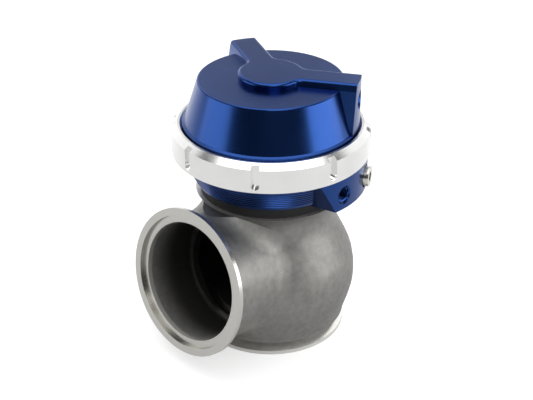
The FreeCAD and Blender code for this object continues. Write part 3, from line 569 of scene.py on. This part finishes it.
# %% The size of a thread
PORT_RADIUS = mounts["lower_port"]["dims"]["r_mm"] * MILLIMETRE
PORT_DEPTH = mounts["lower_port"]["dims"]["length_mm"] * MILLIMETRE
THREAD_PITCH = 0.00094
THREAD_TURNS = 10
RIDGE_RADIUS = 0.00036
RIDGE_INSET = 0.4 * RIDGE_RADIUS
TURN_STEPS = 32
SHARPEST_SMOOTH = math.radians(40)
print("thread:", round(THREAD_PITCH * THREAD_TURNS / MILLIMETRE, 1), "mm long")


# %% Helpers that ready a piece for the next operator
def pick(piece):
    """Only this piece selected and active, so that the next operator acts on it alone."""
    bpy.ops.object.select_all(action="DESELECT")
    piece.select_set(True)
    bpy.context.view_layer.objects.active = piece


def settle(piece):
    """Move the piece's place and turn into its mesh."""
    pick(piece)
    bpy.ops.object.transform_apply(location=True, rotation=True, scale=True)


# %% Wind the thread once
def wound_ridge():
    """A closed ridge that climbs about the Z axis, from the origin up."""
    bpy.ops.object.select_all(action="DESELECT")
    bpy.ops.mesh.primitive_circle_add(
        vertices=3,
        radius=RIDGE_RADIUS,
        fill_type="NOTHING",
        location=(PORT_RADIUS - RIDGE_INSET, 0, 0),
        rotation=(math.pi / 2, -math.pi / 2, 0),
    )
    ridge = bpy.context.active_object
    settle(ridge)
    winding = ridge.modifiers.new("winding", "SCREW")
    winding.axis = "Z"
    winding.screw_offset = THREAD_PITCH
    winding.iterations = THREAD_TURNS
    winding.steps = TURN_STEPS
    winding.render_steps = TURN_STEPS
    bpy.ops.object.modifier_apply(modifier="winding")
    bpy.ops.object.mode_set(mode="EDIT")
    bpy.ops.mesh.select_all(action="SELECT")
    bpy.ops.mesh.fill_holes(sides=3)
    bpy.ops.mesh.select_all(action="SELECT")
    bpy.ops.mesh.normals_make_consistent(inside=False)
    bpy.ops.object.mode_set(mode="OBJECT")
    bpy.ops.object.shade_smooth_by_angle(angle=SHARPEST_SMOOTH)
    return ridge


thread = wound_ridge()
print("thread faces:", len(thread.data.polygons))

# %% Put a copy in each open port
# How far each bore's mouth lies outward from the place that the record gives for the port.
LOWER_MOUTH = 0.002
UPPER_MOUTH = 0.005


def fit_thread(port, mouth):
    """A copy of the thread in the middle of this port's bore."""
    pick(thread)
    bpy.ops.object.duplicate()
    copy = bpy.context.active_object
    copy.name = f"{port}_thread"
    outward = Vector(mounts[port]["axis"])
    spare = (PORT_DEPTH - THREAD_PITCH * THREAD_TURNS) / 2
    copy.rotation_euler = outward.to_track_quat("Z", "Y").to_euler()
    copy.location = Vector(mounts[port]["pos_m"]) + outward * (mouth - PORT_DEPTH + spare)
    settle(copy)
    copy.data.materials.append(finishes["blue_anodised"])
    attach(copy, "housing")
    print("fitted:", copy.name)


fit_thread("lower_port", LOWER_MOUTH)
fit_thread("upper_port_right", UPPER_MOUTH)
fit_thread("upper_port_left", UPPER_MOUTH)
bpy.data.objects.remove(thread)

# %% [markdown]
# ## Stand-in copies of the springs and diaphragm
# When the valve lifts, the three springs are squeezed under the cap's roof and the middle of the
# diaphragm rides up with its plates. They could be remade for each pose, but one model has to
# serve them all. So a copy stands in for each of these parts, with its triangles joined into one
# skin.

# %% Copies that stand in
SAME_POINT = 0.000001


def stand_in(name):
    """A copy of a CAD part, with its triangles joined into one skin, shown in the part's place."""
    copy = bpy.data.objects.new(f"{name}_giving", nodes[name].data.copy())
    bpy.context.scene.collection.objects.link(copy)
    pick(copy)
    bpy.ops.object.mode_set(mode="EDIT")
    bpy.ops.mesh.select_all(action="SELECT")
    bpy.ops.mesh.remove_doubles(threshold=SAME_POINT)
    bpy.ops.object.mode_set(mode="OBJECT")
    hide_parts(name)
    return copy


# %% Copies of the springs and the diaphragm
for name in ("outer_spring", "middle_spring", "inner_spring"):
    coils = stand_in(name)
    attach(coils, "housing")
    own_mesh(coils)

disc = stand_in("diaphragm")
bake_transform(disc)

# %% [markdown]
# ## The floor
# The gate stands on white paper that runs out of sight. A grey floor under strong lamps would turn
# white too, but those lamps would bleach the metal. So the paper is plain grey to the light on
# it, which keeps the gate's shadow, and glows only for the camera and for reflections. Polished
# flanges mirror a dimmer glow near the camera than behind the gate, as a room does.

# %% The paper in numbers
FLOOR_SIZE = 8.0
FLOOR_TONE = 0.60
SEEN_GLOW = 0.60
NEAR_GLOW = 0.14
FAR_GLOW = 0.75
FAR_FADE = 0.5
RIM_START = 0.4
RIM_FADE = 1.0
print("mirrored glow:", NEAR_GLOW, "near,", FAR_GLOW, "behind the gate")


# %% Lay the paper
def floor_paper():
    """Matt paper that the camera and reflections see brighter than the lamps leave it."""
    paper = Finish("paper")
    light_path = paper.node("ShaderNodeLightPath")
    seen, glossy, through = (
        Signal(paper, light_path.outputs[f"Is {ray} Ray"])
        for ray in ("Camera", "Glossy", "Transmission")
    )
    away = -direction(AZIMUTH, 0)
    far = past(along(paper.place, away, Vector()), 0, FAR_FADE)
    outer = past(radius(paper.x, paper.y), RIM_START, RIM_FADE)
    seen_glow = seen * (outer * (1 - SEEN_GLOW) + SEEN_GLOW)
    mirrored_glow = either(glossy, through) * (far * (FAR_GLOW - NEAR_GLOW) + NEAR_GLOW)
    plain = paper.node("ShaderNodeBsdfDiffuse", inputs={"Color": grey(FLOOR_TONE)})
    glow = paper.node("ShaderNodeEmission", inputs={
        "Color": grey(1.0),
        "Strength": seen_glow + mirrored_glow,
    })
    paper.show(paper.node("ShaderNodeAddShader", inputs={
        0: Signal(paper, plain.outputs[0]),
        1: Signal(paper, glow.outputs[0]),
    }))
    return paper


bpy.ops.mesh.primitive_plane_add(size=FLOOR_SIZE)
floor = bpy.context.active_object
floor.name = "floor"
floor.data.materials.append(floor_paper().material)
print("floor:", FLOOR_SIZE, "m wide")

# %% [markdown]
# ## The lamps
# Round metal shows its lamps as upright bands. Bare bulbs would make hard sparks, so every lamp is
# a soft box. One stands on each side of the gate for the two bright bands, one hangs above for the
# cap, and a small one over the camera lights the arms. Four weaker ones behind the gate draw its
# edges and fill the mirrors of its flanges.


# %% The lamps
def soft_box(name, swing, rise, reach, width, height, brightness):
    """A rectangular lamp aimed at the gate. Its swing is measured from the camera, in degrees."""
    lamp_data = bpy.data.lights.new(name, "AREA")
    lamp_data.shape = "RECTANGLE"
    lamp_data.size = width
    lamp_data.size_y = height
    lamp_data.energy = brightness * math.pi * width * height
    lamp = bpy.data.objects.new(name, lamp_data)
    bpy.context.scene.collection.objects.link(lamp)
    lamp.location = aim + direction(AZIMUTH + math.radians(swing), math.radians(rise)) * reach
    lamp.rotation_euler = aimed(lamp.location, aim).to_euler()
    lamp.visible_camera = False
    print(name, "gives", round(lamp_data.energy, 2), "W")


soft_box("left_box", swing=-80, rise=7, reach=0.9, width=0.75, height=0.40, brightness=2.0)
soft_box("right_box", swing=78, rise=7, reach=0.9, width=0.85, height=0.40, brightness=3.1)
soft_box("top_box", swing=0, rise=84, reach=1.0, width=1.4, height=1.4, brightness=1.9)
soft_box("back_box", swing=180, rise=28, reach=1.2, width=0.7, height=0.8, brightness=0.4)
soft_box("left_back_box", swing=-142, rise=30, reach=1.2, width=1.2, height=0.9, brightness=1.0)
soft_box("right_back_box", swing=142, rise=30, reach=1.2, width=1.2, height=0.9, brightness=1.0)
soft_box("horizon_box", swing=180, rise=5, reach=1.3, width=2.8, height=0.5, brightness=0.9)
soft_box("front_box", swing=12, rise=36, reach=0.9, width=0.45, height=0.3, brightness=3.0)

# %% [markdown]
# ## The world
# The picture's background is pure white. A white world would light the gate from all sides and
# wash its dark bands out, so the world is white for the camera alone and nearly dark for the rest.

# %% The world
ROOM_GLOW = 0.05

world = bpy.data.worlds.new("studio")
bpy.context.scene.world = world
world.use_nodes = True
room = NodeTree(world.node_tree, "ShaderNodeOutputWorld")
seen_directly = Signal(room, room.node("ShaderNodeLightPath").outputs["Is Camera Ray"])
room.show(room.node("ShaderNodeBackground", inputs={
    "Color": grey(1.0),
    "Strength": seen_directly * (1 - ROOM_GLOW) + ROOM_GLOW,
}))
bpy.context.scene.view_settings.view_transform = "Standard"
print("world nodes:", len(world.node_tree.nodes))
